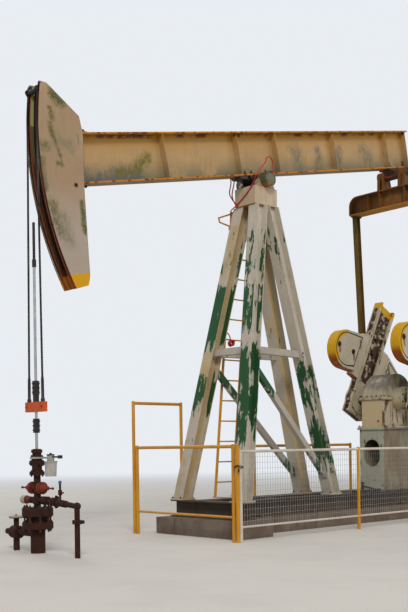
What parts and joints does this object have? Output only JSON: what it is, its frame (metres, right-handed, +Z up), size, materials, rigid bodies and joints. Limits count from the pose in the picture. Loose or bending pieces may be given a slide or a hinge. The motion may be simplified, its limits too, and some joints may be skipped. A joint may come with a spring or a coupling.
{
  "type": "pumpjack",
  "caption": "Walking beam pumpjack with curved horse head, samson post, crank and pitman drive with counterweights, gearbox, motor, wellhead and guard fence.",
  "frame": {"origin": "on the ground under the centre bearing, at the middle of the foundation's underside width", "axes": "+X along the walking beam towards the drive, +Y to the side where the ladder stands, +Z up"},
  "size_m": [10.4492, 2.2078, 6.8228],
  "materials": {
    "foundation": "rough concrete",
    "rubber_black": "matt",
    "hose_red": "satin",
    "black_steel": "greased",
    "bright_steel": "polished",
    "rusty_iron": "rusted",
    "white_paint": "chalked and peeling",
    "yellow_paint": "gloss, worn",
    "rusty_paint": "rusted",
    "cream_paint": "chalked",
    "white_cast": "painted",
    "green_paint": "satin"
  },
  "bodies": {
    "frame": {"foundation": "foundation", "skid_rails": "white_paint", "skid_cross_beams": "white_paint", "leg_front_near": "white_paint", "leg_front_far": "white_paint", "leg_rear_near": "white_paint", "leg_rear_far": "white_paint", "ties": "white_paint", "diagonals": "white_paint", "post_cap": "white_paint", "bearing_near": "white_paint", "bearing_far": "white_paint", "ladder": "yellow_paint", "grease_line_post": "hose_red", "gearbox_pedestal": "white_paint", "gear_case": "cream_paint", "gear_cover": "cream_paint", "unit_sheave": "rusty_paint", "belts": "rubber_black", "motor_sheave": "rusty_paint", "belt_guard": "yellow_paint", "motor": "green_paint", "motor_base": "white_paint", "brake_drum": "rusty_paint", "brake_latch": "rusty_paint", "casing_head": "rusty_iron", "tubing_spool": "rusty_iron", "spool_valves": "rusty_iron", "pumping_tee": "rusty_iron", "stuffing_box": "rusty_iron", "leak_pot": "white_paint", "flow_line": "rusty_iron", "side_valve": "rusty_iron", "fence_front": "yellow_paint", "fence_tall_frame": "yellow_paint", "fence_far": "yellow_paint", "fence_near": "white_paint", "fence_near_posts": "yellow_paint"},
    "walking_beam_body": {"walking_beam": "cream_paint", "saddle": "rusty_paint", "horsehead": "cream_paint", "rope_anchor": "black_steel", "rope_wraps": "black_steel", "tail_bearing": "rusty_paint", "grease_line_tail": "hose_red"},
    "equalizer_body": {"equalizer": "rusty_paint", "pitman_near": "rusty_paint", "pitman_far": "rusty_paint"},
    "crank_body": {"crankshaft": "bright_steel", "crank_near": "white_paint", "crank_far": "white_paint", "weight_front_near": "white_cast", "weight_front_far": "white_cast", "weight_rear_near": "white_cast", "weight_rear_far": "white_cast"},
    "rod_body": {"polished_rod": "bright_steel", "rod_clamps": "black_steel", "carrier_bar": "yellow_paint", "hanging_ropes": "black_steel"}
  },
  "joints": [
    {"name": "beam_swing", "type": "hinge", "parent": "frame", "child": "walking_beam_body", "pos_m": [0, 0, 5.24], "axis": [0, 1, 0], "range_deg": [-1.7, 30.5]},
    {"name": "rod_lift", "type": "slide", "parent": "frame", "child": "rod_body", "axis": [0, 0, 1], "range_m": [-0.1189, 2.099], "deforming": ["hanging_ropes"]},
    {"name": "equalizer_swing", "type": "hinge", "parent": "walking_beam_body", "child": "equalizer_body", "pos_m": [3.51467, 0, 6.01918], "axis": [0, 1, 0], "range_deg": [-30.6, 1.8]},
    {"name": "crank_spin", "type": "hinge", "parent": "frame", "child": "crank_body", "pos_m": [3.25, 0, 2.052], "axis": [0, 1, 0], "continuous": true}
  ],
  "couplings": [
    {"joint": "rod_lift", "follows": "beam_swing", "m_per_rad": 3.9393},
    {"joint": "equalizer_swing", "follows": "beam_swing", "ratio": -1}
  ]
}
